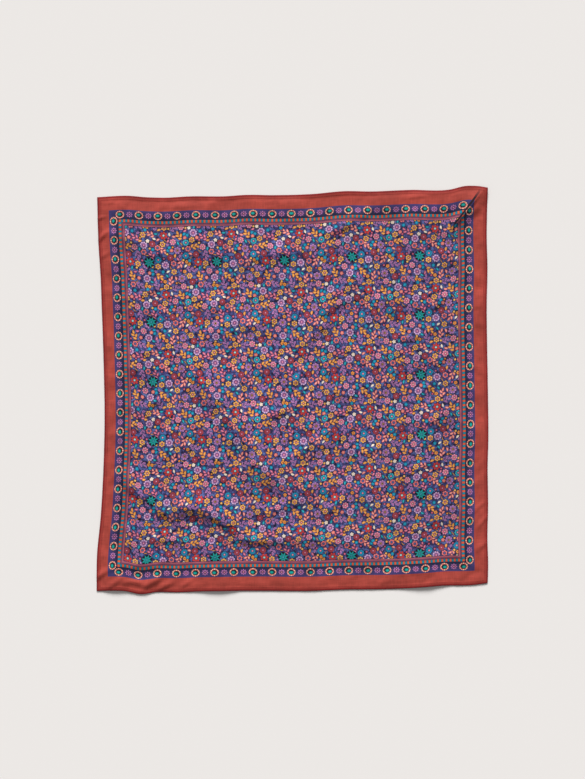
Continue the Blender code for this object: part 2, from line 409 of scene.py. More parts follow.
# copies in one repeat, radius, petals, how deep and how sharply they are cut apart, rings
flowerKinds = {
    "seaBloom": (1, 7.4, 8, 1.3, 1.2, (("ink", 0.10), ("cyan", 0.24), ("ink", 0.42), ("jade", 0.93))),
    "redStar": (2, 5.7, 7, 0.9, 3, (("paleCyan", 0.26), ("ink", 0.36), ("brick", 0.60), ("scarlet", 0.93))),
    "lilacRing": (
        4, 5.2, 8, 1.2, 6,
        (("pink", 0.20), ("mauve", 0.34), ("ink", 0.42), ("mauve", 0.62), ("paleLilac", 0.93)),
    ),
    "lilacStar": (
        3, 5.2, 7, 0.9, 4,
        (("ink", 0.20), ("gold", 0.28), ("ink", 0.36), ("mauve", 0.56), ("lilac", 0.93)),
    ),
    "tealRing": (2, 4.6, 8, 0.8, 5, (("pink", 0.26), ("ink", 0.42), ("peacock", 0.93))),
    "cyanRing": (1, 4.4, 8, 0.8, 5, (("pink", 0.26), ("ink", 0.42), ("teal", 0.60), ("cyan", 0.93))),
    "brickRing": (
        4, 4.4, 8, 0.9, 5,
        (("pink", 0.20), ("plum", 0.36), ("brick", 0.60), ("plum", 0.68), ("brick", 0.93)),
    ),
    "roseRing": (4, 4.4, 7, 0.9, 4, (("cream", 0.18), ("ink", 0.30), ("rose", 0.62), ("pink", 0.93))),
    "goldRing": (8, 4.1, 6, 0.9, 4, (("pink", 0.22), ("ink", 0.44), ("orange", 0.62), ("gold", 0.93))),
    "coralRing": (5, 4.1, 6, 0.7, 4, (("slate", 0.34), ("ink", 0.50), ("coral", 0.93))),
    "tealBlossom": (3, 2.6, 5, 0.5, 3, (("cyan", 0.26), ("peacock", 0.93))),
    "coralBlossom": (3, 2.6, 5, 0.5, 3, (("gold", 0.26), ("coral", 0.93))),
    "orangeBlossom": (3, 2.6, 5, 0.5, 3, (("brown", 0.26), ("orange", 0.93))),
    "creamBlossom": (2, 2.7, 5, 0.8, 3, (("pink", 0.20), ("cream", 0.93))),
}
# copies in one repeat, half length, half width, bend, dye at the middle and at the rim
leafKinds = {
    "orangeLeaf": (3, 3.1, 1.6, 0.35, "gold", "orange"),
    "coralLeaf": (4, 3.0, 1.55, 0.35, "peach", "coral"),
    "pinkLeaf": (5, 2.9, 1.5, 0.40, "pink", "rose"),
    "lilacLeaf": (5, 3.1, 1.5, 0.55, "mauve", "lilac"),
    "cyanLeaf": (7, 3.2, 1.7, 0.30, "cyan", "teal"),
    "creamLeaf": (4, 2.8, 1.4, 0.30, "cream", "cream"),
    "goldTwig": (10, 4.6, 0.75, 2.2, "gold", "brown"),
}
leafOutline = (1.18, 1.36)  # the dark outline lies outside the leaf's own length and width
leafReach = (0.72, 2.0)  # the room it takes is the lesser of these shares of its half length and half width
# motifs laid together: copies in one repeat, reach, and where each one lies: (kind, mm ahead, mm left, turn)
bunches = {
    f"{leaf}Sprig": (copies, 4.8, (
        (leaf, -4.4, 1.8, 0.75), (leaf, -1.8, -2.0, -0.75), (leaf, 1.0, 1.9, 0.7), (leaf, 4.1, -0.9, -0.25),
    ))
    for leaf, copies in (("orangeLeaf", 4), ("coralLeaf", 4), ("pinkLeaf", 2), ("lilacLeaf", 5))
}
bunches["tealPosy"] = (3, 3.5, (
    ("tealBlossom", -2.4, 0.8, 0.0), ("tealBlossom", 1.8, 2.2, 1.0), ("coralBlossom", 1.4, -2.6, 2.0),
))
bunches["orangePosy"] = (2, 3.4, (
    ("orangeBlossom", -2.4, 0.6, 0.0), ("orangeBlossom", 1.8, 2.0, 1.0), ("tealBlossom", 1.4, -2.5, 2.0),
))
dotKinds = {"goldDot": (10, 1.5, "gold"), "pinkDot": (11, 1.4, "rose"), "orangeDot": (4, 1.3, "orange")}


def spreadMotifs():
    # draws a place for every motif of one repeat, the largest first, then pushes the crowded ones apart
    draw = random.Random(fieldRepeat["seed"])
    wide, high = fieldRepeat["width"], fieldRepeat["height"]
    wanted, placed = [], []
    for kind, row in (*flowerKinds.items(), *leafKinds.items(), *dotKinds.items(), *bunches.items()):
        if kind != "seaBloom":
            reach = min(row[1] * leafReach[0], row[2] * leafReach[1]) if kind in leafKinds else row[1]
            wanted += [(kind, reach)] * row[0]

    def apart(one, other):
        dx = (one[0] - other[0] + wide / 2) % wide - wide / 2
        dy = (one[1] - other[1] + high / 2) % high - high / 2
        return dx, dy, math.hypot(dx, dy)

    for kind, reach in sorted(wanted, key=lambda want: -want[1]):
        best, bestRoom = None, -1e9
        for _ in range(fieldRepeat["tries"]):
            spot = (draw.uniform(0, wide), draw.uniform(0, high))
            others = [(other, apart(spot, other["spot"])[2]) for other in placed]
            room = min((far - other["reach"] - reach for other, far in others), default=0)
            alike = sum(other["kind"] == kind and far < fieldRepeat["alikeWithin"] for other, far in others)
            room -= alike * fieldRepeat["alikeCosts"]
            if room > bestRoom:
                best, bestRoom = spot, room
        placed.append({"kind": kind, "reach": reach, "spot": list(best), "turn": draw.uniform(0, math.tau)})
    for _ in range(fieldRepeat["rounds"]):
        for i, one in enumerate(placed):
            for other in placed[:i]:
                dx, dy, far = apart(one["spot"], other["spot"])
                short = one["reach"] + other["reach"] + fieldRepeat["gap"] - far
                if short > 0 and far > 0:
                    share = other["reach"] / (one["reach"] + other["reach"])
                    for axis, step in enumerate((dx, dy)):
                        push = step / far * short / 2
                        one["spot"][axis] += push * share
                        other["spot"][axis] -= push * (1 - share)
    bloom = {"kind": "seaBloom", "spot": fieldRepeat["bloomAt"], "turn": fieldRepeat["bloomTurn"]}
    # the smallest come first and the leaves before all, so that the flowers cover the leaves' ends
    laid = []
    for one in reversed([bloom, *placed]):
        x, y = math.cos(one["turn"]), math.sin(one["turn"])
        members = bunches[one["kind"]][2] if one["kind"] in bunches else ((one["kind"], 0.0, 0.0, 0.0),)
        for kind, ahead, aside, turn in members:
            spot = (one["spot"][0] + ahead * x - aside * y, one["spot"][1] + ahead * y + aside * x)
            laid.append({"kind": kind, "spot": spot, "turn": one["turn"] + turn})
    return sorted(laid, key=lambda motif: motif["kind"] not in leafKinds)


# small helpers for nodes
def feed(tree, socket, value):
    if isinstance(value, bpy.types.NodeSocket):
        tree.links.new(value, socket)
    else:
        socket.default_value = value


def addNode(tree, kind, inputs, **settings):
    node = tree.nodes.new(kind)
    for name, setting in settings.items():
        setattr(node, name, setting)
    for label, value in inputs.items():
        feed(tree, node.inputs[label], value)
    return node.outputs


def calc(tree, operation, *values):
    return addNode(tree, "ShaderNodeMath", dict(enumerate(values)), operation=operation)[0]


def vectorCalc(tree, operation, *values):
    made = addNode(tree, "ShaderNodeVectorMath", dict(enumerate(values)), operation=operation)
    return made["Value" if operation in ("DOT_PRODUCT", "LENGTH", "DISTANCE") else "Vector"]


def layOver(tree, under, over, amount):
    return addNode(tree, "ShaderNodeMix", {0: amount, 6: under, 7: over}, data_type="RGBA")[2]


def blendNumber(tree, first, second, amount):
    return addNode(tree, "ShaderNodeMix", {0: amount, 2: first, 3: second})[0]


def ramp(tree, value, stops):
    # stops are (place, colour with alpha)
    node = tree.nodes.new("ShaderNodeValToRGB")
    feed(tree, node.inputs[0], value)
    marks = node.color_ramp.elements
    while len(marks) > 1:
        marks.remove(marks[-1])
    marks[0].position, marks[0].color = stops[0]
    for place, colour in stops[1:]:
        marks.new(place).color = colour
    return node.outputs["Color"], node.outputs["Alpha"]


def dyeStops(*bands, fadeAt=None):
    # each band is (dye, its places); the last one may fade out
    stops = [(place, dye(name)) for name, *places in bands for place in places]
    return stops + ([(fadeAt, (*stops[-1][1][:3], 0.0))] if fadeAt else [])


def mask(tree, value, *stops):
    # stops are (place, how much shows)
    return ramp(tree, value, [(place, (1, 1, 1, shown)) for place, shown in stops])[1]


def ringStops(rings, outlineFrom, soft=0.02):
    # flat rings of dye with a hair's breadth of bleeding, a dark outline, and nothing past it
    bands, start = [], 0.0
    for name, until in rings:
        end = until * outlineFrom / rings[-1][1]
        bands.append((name, start + (soft if start else 0), end - soft))
        start = end
    return dyeStops(*bands, ("ink", start + soft, 1 - 2 * soft), fadeAt=1.0)


def noiseOver(tree, vector, scale, detail=2.0):
    return addNode(tree, "ShaderNodeTexNoise", {"Vector": vector, "Scale": scale, "Detail": detail})["Fac"]


def partsOf(tree, vector, along=(1.0, 0.0, 0.0), across=(0.0, 1.0, 0.0)):
    # how far the vector goes along each of two directions
    return [vectorCalc(tree, "DOT_PRODUCT", vector, way) for way in (along, across)]


def useGroup(tree, group, values):
    return addNode(tree, "ShaderNodeGroup", values, node_tree=group)


def newGroup(name, inputs, outputs=(("Colour", "colour"),)):
    group = bpy.data.node_groups.new(name, "ShaderNodeTree")
    kinds = {"colour": "NodeSocketColor", "vector": "NodeSocketVector", "number": "NodeSocketFloat"}
    for label, kind in inputs:
        group.interface.new_socket(label, in_out="INPUT", socket_type=kinds[kind])
    for label, kind in outputs:
        group.interface.new_socket(label, in_out="OUTPUT", socket_type=kinds[kind])
    return group, group.nodes.new("NodeGroupInput").outputs, group.nodes.new("NodeGroupOutput").inputs


def nearestCopy(group, given):
    # the way from the motif's nearest copy in the repeat
    half = (fieldRepeat["width"] / 2, fieldRepeat["height"] / 2, 1.0)
    away = vectorCalc(group, "SUBTRACT", given["Place"], given["Centre"])
    return vectorCalc(group, "WRAP", away, half, tuple(-side for side in half))


motifInputs = (
    ("Under", "colour"), ("Place", "vector"), ("Centre", "vector"), ("Along", "vector"), ("Across", "vector"),
)


def flowerGroup(name, radius, petals, notch, sharp, rings):
    # the blooms are laid by an amount, because they lie near the border only
    inputs = motifInputs + ((("Amount", "number"),) if name == "seaBloom" else ())
    group, given, made = newGroup(name, inputs)
    whole = radius + fieldRepeat["outline"]
    away = nearestCopy(group, given)
    far = vectorCalc(group, "LENGTH", away)
    x, y = partsOf(group, away, given["Along"], given["Across"])
    petal = calc(group, "PINGPONG", calc(group, "ARCTAN2", y, x), math.pi / petals)
    cut = calc(group, "POWER", petal, sharp)
    swell = calc(group, "MULTIPLY_ADD", cut, notch * (petals / math.pi) ** sharp / whole, 1 / whole)
    colour, cover = ramp(group, calc(group, "MULTIPLY", far, swell), ringStops(rings, radius / whole))
    if name == "seaBloom":
        # the dark outline fills the gaps between its petals
        cover = calc(group, "MULTIPLY", calc(group, "LESS_THAN", far, radius), given["Amount"])
    feed(group, made["Colour"], layOver(group, given["Under"], colour, cover))
    return group


def leafGroup(name, bend, inner, rim):
    group, given, made = newGroup(name, motifInputs)
    away = nearestCopy(group, given)
    x, y = partsOf(group, away, given["Along"], given["Across"])
    squared = calc(group, "MULTIPLY", x, x)
    bent = calc(group, "ABSOLUTE", calc(group, "MULTIPLY_ADD", squared, bend, y))
    stops = dyeStops((inner, 0.0, 0.22), (rim, 0.36, 0.71), ("ink", 0.76, 0.94), fadeAt=1.0)
    colour, cover = ramp(group, calc(group, "ADD", squared, bent), stops)
    feed(group, made["Colour"], layOver(group, given["Under"], colour, cover))
    return group


def dotGroup(name, radius, colourName):
    group, given, made = newGroup(name, motifInputs)
    whole = radius + fieldRepeat["outline"]
    far = vectorCalc(group, "LENGTH", nearestCopy(group, given))
    stops = ringStops(((colourName, 0.93),), radius / whole)
    colour, cover = ramp(group, calc(group, "MULTIPLY", far, 1 / whole), stops)
    feed(group, made["Colour"], layOver(group, given["Under"], colour, cover))
    return group


# the printed border, in mm in from the print's own edge
border = {
    "marginLeft": 15.8, "marginRight": 18.9, "marginTop": 19.5, "marginBottom": 19.9,
    "redOutside": 2.0,
    "depth": 26.0,  # where the field begins for good
    "roundelDepth": 6.5, "roundelRadius": 6.1, "roundelPetals": 12, "roundelNotch": 0.10,
    "roundelsEachSide": 19, "firstRoundel": 15.5, "flattened": 1.15,
    "outline": 0.6,
    "ovalHalf": (3.7, 3.0), "gleamAside": -0.34,
    "rosetteRadius": 4.8, "rosettePetals": 8, "rosetteNotch": 0.80,
    "plainCorner": 9.0,  # from the corner, where no rosette is printed
    "beadDepth": 15.5, "beadHalf": 1.95, "beadSpan": 3.6, "beadRounding": 0.16, "beadsFromMiddle": 40.5,
}


def borderGroup():
    inputs = (("Under", "colour"), ("Depth", "number"), ("Along", "number"))
    group, given, made = newGroup("printedBorder", inputs)
    halfSide = (scarf["width"] - border["marginLeft"] - border["marginRight"]) / 2
    depth, along = given["Depth"], given["Along"]

    # bands of ground colour, with the red margin outside the print
    margin = border["redOutside"]
    span = border["depth"] + margin

    def at(place):
        return (place + margin) / span

    bands = dyeStops(
        ("red", 0.0, at(-0.25)), ("indigo", at(0.1), at(3.0)), ("navy", at(12.2), at(17.8)),
        ("heather", at(18.2), at(20.0)), ("oldRose", at(20.2), at(21.5)), ("navy", at(21.8)), fadeAt=at(22.8),
    )
    colour, cover = ramp(group, calc(group, "MULTIPLY_ADD", depth, 1 / span, margin / span), bands)
    painted = layOver(group, given["Under"], colour, cover)

    # the bead stripe: square teal and orange beads by turns
    beadPitch = (halfSide - border["beadDepth"]) / border["beadsFromMiddle"]
    across = calc(group, "SUBTRACT", depth, border["beadDepth"])
    rounding = calc(group, "MULTIPLY", calc(group, "MULTIPLY", across, across), border["beadRounding"])
    bead = calc(group, "ADD", calc(group, "PINGPONG", along, beadPitch / 2), rounding)
    stops = dyeStops(("teal", 0.0, 0.36), ("ink", 0.42, 0.49), ("flame", 0.55, 1.0))
    beadColours, _ = ramp(group, calc(group, "DIVIDE", bead, border["beadSpan"]), stops)
    offLine = calc(group, "DIVIDE", calc(group, "ABSOLUTE", across), border["beadHalf"])
    # its edge is at 0.8 of the ramp, which leaves room for it to fade
    onStripe = mask(group, calc(group, "MULTIPLY", offLine, 0.8), (0.0, 1), (0.74, 1), (0.82, 0))
    painted = layOver(group, painted, beadColours, onStripe)

    # a roundel at each step along the side, and a small rosette halfway
    pitch = (halfSide - border["firstRoundel"]) / ((border["roundelsEachSide"] - 1) / 2)
    below = calc(group, "SUBTRACT", depth, border["roundelDepth"])
    below = calc(group, "MULTIPLY", below, border["flattened"])
    belowSquared = calc(group, "MULTIPLY", below, below)
    for motif, half in (("rosette", pitch / 2), ("roundel", 0.0)):
        radius, petals, notch = (border[motif + part] for part in ("Radius", "Petals", "Notch"))
        whole = radius + border["outline"]
        beside = calc(group, "WRAP", calc(group, "ADD", along, half), pitch / 2, -pitch / 2)
        far = calc(group, "SQRT", calc(group, "MULTIPLY_ADD", beside, beside, belowSquared))
        angle = calc(group, "ARCTAN2", below, beside)
        petal = calc(group, "PINGPONG", angle, math.pi / petals)
        cut = calc(group, "MULTIPLY", petal, petal)
        swell = calc(group, "MULTIPLY_ADD", cut, notch * (petals / math.pi) ** 2 / whole, 1 / whole)
        rim = calc(group, "MULTIPLY", far, swell)
        if motif == "rosette":
            # the corners have none
            rings = (("pink", 0.18), ("plum", 0.34), ("ink", 0.50), ("orchid", 0.90))
            colour, cover = ramp(group, rim, ringStops(rings, radius / whole))
            rosettesEnd = calc(group, "LESS_THAN", along, halfSide - border["plainCorner"])
            cover = calc(group, "MULTIPLY", cover, rosettesEnd)
            painted = layOver(group, painted, colour, cover)
            continue
        rings = (("ink", 0.64), ("brown", 0.68), ("peach", 0.94))
        colour, cover = ramp(group, rim, ringStops(rings, radius / whole))
        everyOther = calc(group, "PINGPONG", angle, math.tau / petals)
        stops = dyeStops(("coral", 0.0, 0.29), ("brown", 0.36, 0.64), ("peach", 0.71, 1.0))
        petalColours, _ = ramp(group, calc(group, "MULTIPLY", everyOther, petals / math.tau), stops)
        inRing = mask(group, rim, (0.0, 0), (0.62, 0), (0.65, 1), (0.84, 1), (0.87, 0))
        colour = layOver(group, colour, petalColours, inRing)
        painted = layOver(group, painted, colour, cover)
        # its stone catches the light a little to one side
        ovalX, ovalY = (calc(group, "DIVIDE", *pair) for pair in zip((beside, below), border["ovalHalf"]))
        oval = calc(group, "MULTIPLY_ADD", ovalX, ovalX, calc(group, "MULTIPLY", ovalY, ovalY))
        gleam = calc(group, "MULTIPLY_ADD", calc(group, "SUBTRACT", ovalX, ovalY), border["gleamAside"], oval)
        stops = dyeStops(("jade", 0.0, 0.04), ("sea", 0.30), ("deepSea", 0.62), ("ink", 0.9))
        colour, _ = ramp(group, gleam, stops)
        cover = mask(group, oval, (0.0, 1), (0.84, 1), (1.0, 0))
        painted = layOver(group, painted, colour, cover)
    feed(group, made["Colour"], painted)
    return group


# plain weave: thread over thread, with thicker threads here and there
weave = {
    "pitch": 0.55,
    "slubAlong": 14.0,
    "slubWidth": 1.3,
    "slubRelief": 0.8,
    "slubShade": (0.42, 0.51),  # depth and base of the brightness that the slubs give
    "bumpDepth": 0.05,
    "specular": 0.25,
    "sheenRoughness": 0.4,
}


def weaveGroup():
    group, given, made = newGroup(
        "clothWeave", (("Place", "vector"),), (("Height", "number"), ("Shade", "number"))
    )
    slubs = []
    for size in ((weave["slubAlong"], weave["slubWidth"]), (weave["slubWidth"], weave["slubAlong"])):
        stretched = vectorCalc(group, "DIVIDE", given["Place"], (*size, 1.0))
        slubs.append(noiseOver(group, stretched, 1.0, 1.0))
    turns = math.pi / weave["pitch"]
    runs = partsOf(group, given["Place"], (turns, 0.0, 0.0), (0.0, turns, 0.0))
    crossing = calc(group, "MULTIPLY", *(calc(group, "SINE", run) for run in runs))
    slubbing = calc(group, "ADD", *slubs)
    feed(group, made["Height"], calc(group, "MULTIPLY_ADD", slubbing, weave["slubRelief"], crossing))
    feed(group, made["Shade"], calc(group, "MULTIPLY_ADD", slubbing, *weave["slubShade"]))
    return group


def newMaterial(name, roughness, specular):
    material = bpy.data.materials.new(name)
    material.use_nodes = True
    shader = material.node_tree.nodes["Principled BSDF"]
    shader.inputs["Roughness"].default_value = roughness
    shader.inputs["Specular IOR Level"].default_value = specular
    return material, material.node_tree, shader


def clothShader(name, roughness, sheen):
    material, tree, shader = newMaterial(name, roughness, weave["specular"])
    shader.inputs["Sheen Weight"].default_value = sheen
    shader.inputs["Sheen Roughness"].default_value = weave["sheenRoughness"]
    return material, tree, shader


def placeOnCloth(tree):
    # mm across and up the flat cloth, from its bottom left corner
    uv = addNode(tree, "ShaderNodeUVMap", {}, uv_map="clothPlan")["UV"]
    return uv, vectorCalc(tree, "MULTIPLY", uv, (scarf["width"], scarf["length"], 0.0))


def insideBox(tree, place, centre, halves):
    # how far a place lies from the centre, sideways and upward, and how far in from the side and from the end
    away = vectorCalc(tree, "ABSOLUTE", vectorCalc(tree, "SUBTRACT", place, (*centre, 0.0)))
    parts = partsOf(tree, away)
    return *parts, *(calc(tree, "SUBTRACT", half, part) for half, part in zip(halves, parts))


def addWeave(tree, shader, place, strength):
    woven = useGroup(tree, bpy.data.node_groups.get("clothWeave") or weaveGroup(), {"Place": place})
    relief = {"Strength": strength, "Distance": weave["bumpDepth"] * mm, "Height": woven["Height"]}
    feed(tree, shader.inputs["Normal"], addNode(tree, "ShaderNodeBump", relief)["Normal"])
    return woven["Shade"]


def colourCloth(tree, shader, painted, shade):
    shaded = addNode(tree, "ShaderNodeHueSaturation", {"Value": shade, "Color": painted})["Color"]
    feed(tree, shader.inputs["Base Color"], shaded)


# the cloth is drawn darker with distance from its palest place, and in soft blotches
wash = {
    "palest": (180.0, 340.0),  # where the print is palest, in mm on the flat cloth
    "deeper": 0.28,
    "blotchScale": 14.0,
    "blotchDepth": 0.7,
}
# where a line of painted shade runs along the deep of the top right pleat
pleatShadeLine = {"start": (539.6, 549.5), "end": (499.5, 499.5), "bow": 1.9, "reach": 1.8}  # mm on the flat cloth
printLook = {
    "roughness": 0.78,
    "sheen": 0.12,
    "weaveBump": 0.35,
    "groundScale": 125,
    "groundDetail": 3.0,
    # the hem's deeper red, with painted shade at its curled edge and along the stitch line, is drawn over
    # this span
    "hemSpan": 8.0,  # mm over which the deeper red of the hem is drawn
    "hemShade": ((0.0, 1.0), (0.20, 0.95), (0.34, 0.36), (0.54, 0.30), (0.60, 0.7), (0.67, 0.0)),
    "backPale": 0.35,
}


def printedCotton():
    material, tree, shader = clothShader("printedCotton", printLook["roughness"], printLook["sheen"])
    uv, place = placeOnCloth(tree)

    # depth in from the nearest side of the print, and the way along that side from its middle
    halfWide = (scarf["width"] - border["marginLeft"] - border["marginRight"]) / 2
    halfHigh = (scarf["length"] - border["marginTop"] - border["marginBottom"]) / 2
    printMiddle = (border["marginLeft"] + halfWide, border["marginBottom"] + halfHigh)
    sideways, upward, fromSide, fromEnd = insideBox(tree, place, printMiddle, (halfWide, halfHigh))
    depth = calc(tree, "MINIMUM", fromSide, fromEnd)
    besideSide = calc(tree, "LESS_THAN", fromSide, fromEnd)
    even = (halfWide - border["beadDepth"]) / (halfHigh - border["beadDepth"])
    along = blendNumber(tree, sideways, calc(tree, "MULTIPLY", upward, even), besideSide)
    nearBorder = calc(tree, "LESS_THAN", depth, fieldRepeat["bloomDepth"])

    # the field's mottled ground
    cloud = noiseOver(tree, uv, printLook["groundScale"], printLook["groundDetail"])
    ground = (("ink", 0.30), ("navy", 0.38), ("indigo", 0.44, 0.50), ("slate", 0.55), ("paleSlate", 0.64))
    painted, _ = ramp(tree, cloud, dyeStops(*ground))

    groups = {}
    for kind, row in flowerKinds.items():
        groups[kind] = flowerGroup(kind, *row[1:])
    for kind, (_, _, _, bend, inner, rim) in leafKinds.items():
        groups[kind] = leafGroup(kind, bend, inner, rim)
    for kind, (_, radius, colourName) in dotKinds.items():
        groups[kind] = dotGroup(kind, radius, colourName)
    motifs = spreadMotifs()
    print("motifs in one repeat of the print:", len(motifs))
    for motif in motifs:
        kind, turn = motif["kind"], motif["turn"]
        alongSize, acrossSize = 1.0, 1.0
        if kind in leafKinds:
            alongSize, acrossSize = (leafKinds[kind][i + 1] * leafOutline[i] for i in range(2))
        values = {
            "Under": painted,
            "Place": place,
            "Centre": (*motif["spot"], 0.0),
            "Along": (math.cos(turn) / alongSize, math.sin(turn) / alongSize, 0.0),
            "Across": (-math.sin(turn) / acrossSize, math.cos(turn) / acrossSize, 0.0),
        }
        if kind == "seaBloom":
            values["Amount"] = nearBorder
        painted = useGroup(tree, groups[kind], values)["Colour"]

    # the cloth is drawn a little darker toward the right and the bottom
    far = vectorCalc(tree, "DISTANCE", place, (*wash["palest"], 0.0))
    painted = layOver(tree, painted, dye("ink"), calc(tree, "MULTIPLY", far, wash["deeper"] / scarf["width"]))

    values = {"Under": painted, "Depth": depth, "Along": along}
    painted = useGroup(tree, borderGroup(), values)["Colour"]

    # the hem is three layers, so its red is deeper; its curled outer edge and the line at the stitching are
    # darkened further as painted shade
    halves = (scarf["width"] / 2, scarf["length"] / 2)
    *_, edgeX, edgeY = insideBox(tree, place, halves, halves)
    inset = calc(tree, "DIVIDE", calc(tree, "MINIMUM", edgeX, edgeY), printLook["hemSpan"])
    painted = layOver(tree, painted, dye("deepRed"), mask(tree, inset, *printLook["hemShade"]))

    # painted shade: a dark line painted into the deep of the pleat at the top right corner, where its shadow
    # falls
    run = [pleatShadeLine["end"][i] - pleatShadeLine["start"][i] for i in range(2)]
    pleatLength = math.hypot(*run)
    ahead = tuple(r / pleatLength for r in run)
    fromStart = vectorCalc(tree, "SUBTRACT", place, (*pleatShadeLine["start"], 0.0))
    lengthwise = (ahead[0] / pleatLength, ahead[1] / pleatLength, 0.0)
    crosswise = (-ahead[1] / pleatShadeLine["reach"], ahead[0] / pleatShadeLine["reach"], 0.0)
    share, aside = partsOf(tree, fromStart, lengthwise, crosswise)
    arch = calc(tree, "MULTIPLY", share, calc(tree, "SUBTRACT", 1.0, share))
    aside = calc(tree, "MULTIPLY_ADD", arch, -4 * pleatShadeLine["bow"] / pleatShadeLine["reach"], aside)
    acrossPleatShade = mask(tree, calc(tree, "ABSOLUTE", aside), (0.0, 1), (0.7, 1), (1.0, 0))
    alongPleatShade = mask(tree, share, (0.0, 0), (0.08, 0.5), (0.24, 1), (0.9, 1), (1.0, 0))
    painted = layOver(tree, painted, dye("shadow"), calc(tree, "MULTIPLY", acrossPleatShade, alongPleatShade))

    # the back shows the print a little paler
    back = addNode(tree, "ShaderNodeAttribute", {}, attribute_name="backOfCloth")["Fac"]
    painted = layOver(tree, painted, dye("mauve"), calc(tree, "MULTIPLY", back, printLook["backPale"]))

    # the colour is drawn unevenly, in soft blotches
    blotch = noiseOver(tree, uv, wash["blotchScale"])
    uneven = calc(tree, "MULTIPLY_ADD", blotch, wash["blotchDepth"], 1 - wash["blotchDepth"] / 2)
    shade = calc(tree, "MULTIPLY", addWeave(tree, shader, place, printLook["weaveBump"]), uneven)
    colourCloth(tree, shader, painted, shade)
    return material


# the turned edge and the thread, in two reds that drift into each other
plainLook = {"sheen": 0.15, "weaveBump": 0.5, "cloudScale": 90, "from": 0.35, "to": 0.65}


def plainCotton(name, first, second, roughness):
    material, tree, shader = clothShader(name, roughness, plainLook["sheen"])
    uv, place = placeOnCloth(tree)
    cloud = noiseOver(tree, uv, plainLook["cloudScale"])
    painted, _ = ramp(tree, cloud, dyeStops((first, plainLook["from"]), (second, plainLook["to"])))
    shade = addWeave(tree, shader, place, plainLook["weaveBump"])
    colourCloth(tree, shader, painted, shade)
    return material


# the cloth: one sheet on a grid whose lines crowd at the hems
cloth = {
    "cells": 218,
    "hemLines": (0.0, 0.25, 0.7, 1.4, 2.8, 4.2, 4.8, 5.4, 6.4),
    "pleatReach": 50.0,  # mm from the top and the right side where the lines run closer
    "pleatPitch": 1.8,
}


def clothLines(size):
    # shares of the cloth's width or length at which its mesh lines run
    edge = np.array(cloth["hemLines"]) / size
    near = int(cloth["pleatReach"] / cloth["pleatPitch"])
    turn = 1 - edge[-1] - cloth["pleatReach"] / size
    # one line more than there are cells, in all
    wide = np.linspace(edge[-1], turn, cloth["cells"] + 3 - 2 * len(edge) - near)
    close = np.linspace(turn, 1 - edge[-1], near + 1)
    return np.concatenate([edge[:-1], wide, close[1:], 1 - edge[-2::-1]])


def readAll(items, attribute, width, kind=float):
    values = np.empty(len(items) * width, kind)
    items.foreach_get(attribute, values)
    return values.reshape(-1, width)


def addGrid(name, columns, rows):
    bpy.ops.object.select_all(action="DESELECT")
    bpy.ops.mesh.primitive_grid_add(x_subdivisions=columns, y_subdivisions=rows, size=1)
    grid = bpy.context.object
    grid.name = grid.data.name = name
    places = readAll(grid.data.vertices, "co", 3)[:, :2] + 0.5
    column, row = np.rint(places * (columns, rows)).astype(int).T
    return grid, column, row


def layUv(grid, across, up):
    layer = grid.data.uv_layers[0] if grid.data.uv_layers else grid.data.uv_layers.new()
    layer.name = "clothPlan"
    corners = readAll(grid.data.loops, "vertex_index", 1, int)
    layer.data.foreach_set("uv", np.column_stack([across[corners], up[corners]]).ravel())


def putPoints(piece, points):
    piece.data.vertices.foreach_set("co", (np.asarray(points) * mm).ravel())
    piece.data.update()


def selectOnly(piece):
    bpy.ops.object.select_all(action="DESELECT")
    piece.select_set(True)
    bpy.context.view_layer.objects.active = piece


def thicken(piece, thickness):
    selectOnly(piece)
    wall = piece.modifiers.new("wall", "SOLIDIFY")
    wall.thickness = thickness * mm
    wall.offset = 1.0
    bpy.ops.object.modifier_apply(modifier=wall.name)
    bpy.ops.object.shade_smooth()


# where each part of the cloth goes on the picture that its colours are baked to
bakeMap = {
    "margin": 0.002,
    "face": (0.262, 0.998),
    "back": (0.002, 0.220),
    "rim": 0.226,
    "rimStep": 0.009,
    "rimDepth": 0.005,
}


def slopesUp(mesh):
    # how far up each face looks
    return readAll(mesh.polygons, "normal", 3)[:, 2]


def layBakeMap(piece, cells):
    # the face gets most of the picture, then the back, and the rim's four strips lie between them
    mesh = piece.data
    # four corners to every face, and the rim's faces come last
    plan = readAll(mesh.uv_layers["clothPlan"].data, "uv", 2, np.float32).reshape(-1, 4, 2)
    corners = readAll(mesh.loops, "vertex_index", 1, int).reshape(-1, 4)
    faceUp = slopesUp(mesh) > 0
    rim = np.arange(len(plan)) >= 2 * cells**2
    place = plan * (1 - 2 * bakeMap["margin"]) + bakeMap["margin"]
    for chosen, (low, high) in ((faceUp & ~rim, bakeMap["face"]), (~faceUp & ~rim, bakeMap["back"])):
        place[chosen, :, 1] = low + plan[chosen, :, 1] * (high - low)
    outer = corners >= len(mesh.vertices) // 2
    centre = plan.mean(axis=1)
    for strip, (axis, end) in enumerate(((0, 0), (0, 1), (1, 0), (1, 1))):
        chosen = rim & (np.abs(centre[:, axis] - end) < 1e-6)
        if axis == 0:
            place[chosen, :, 0] = place[chosen, :, 1]
        depth = bakeMap["rimDepth"] * outer[chosen]
        place[chosen, :, 1] = bakeMap["rim"] + bakeMap["rimStep"] * strip + depth
    mesh.uv_layers.new(name="OFBake").data.foreach_set("uv", place.astype(np.float32).ravel())


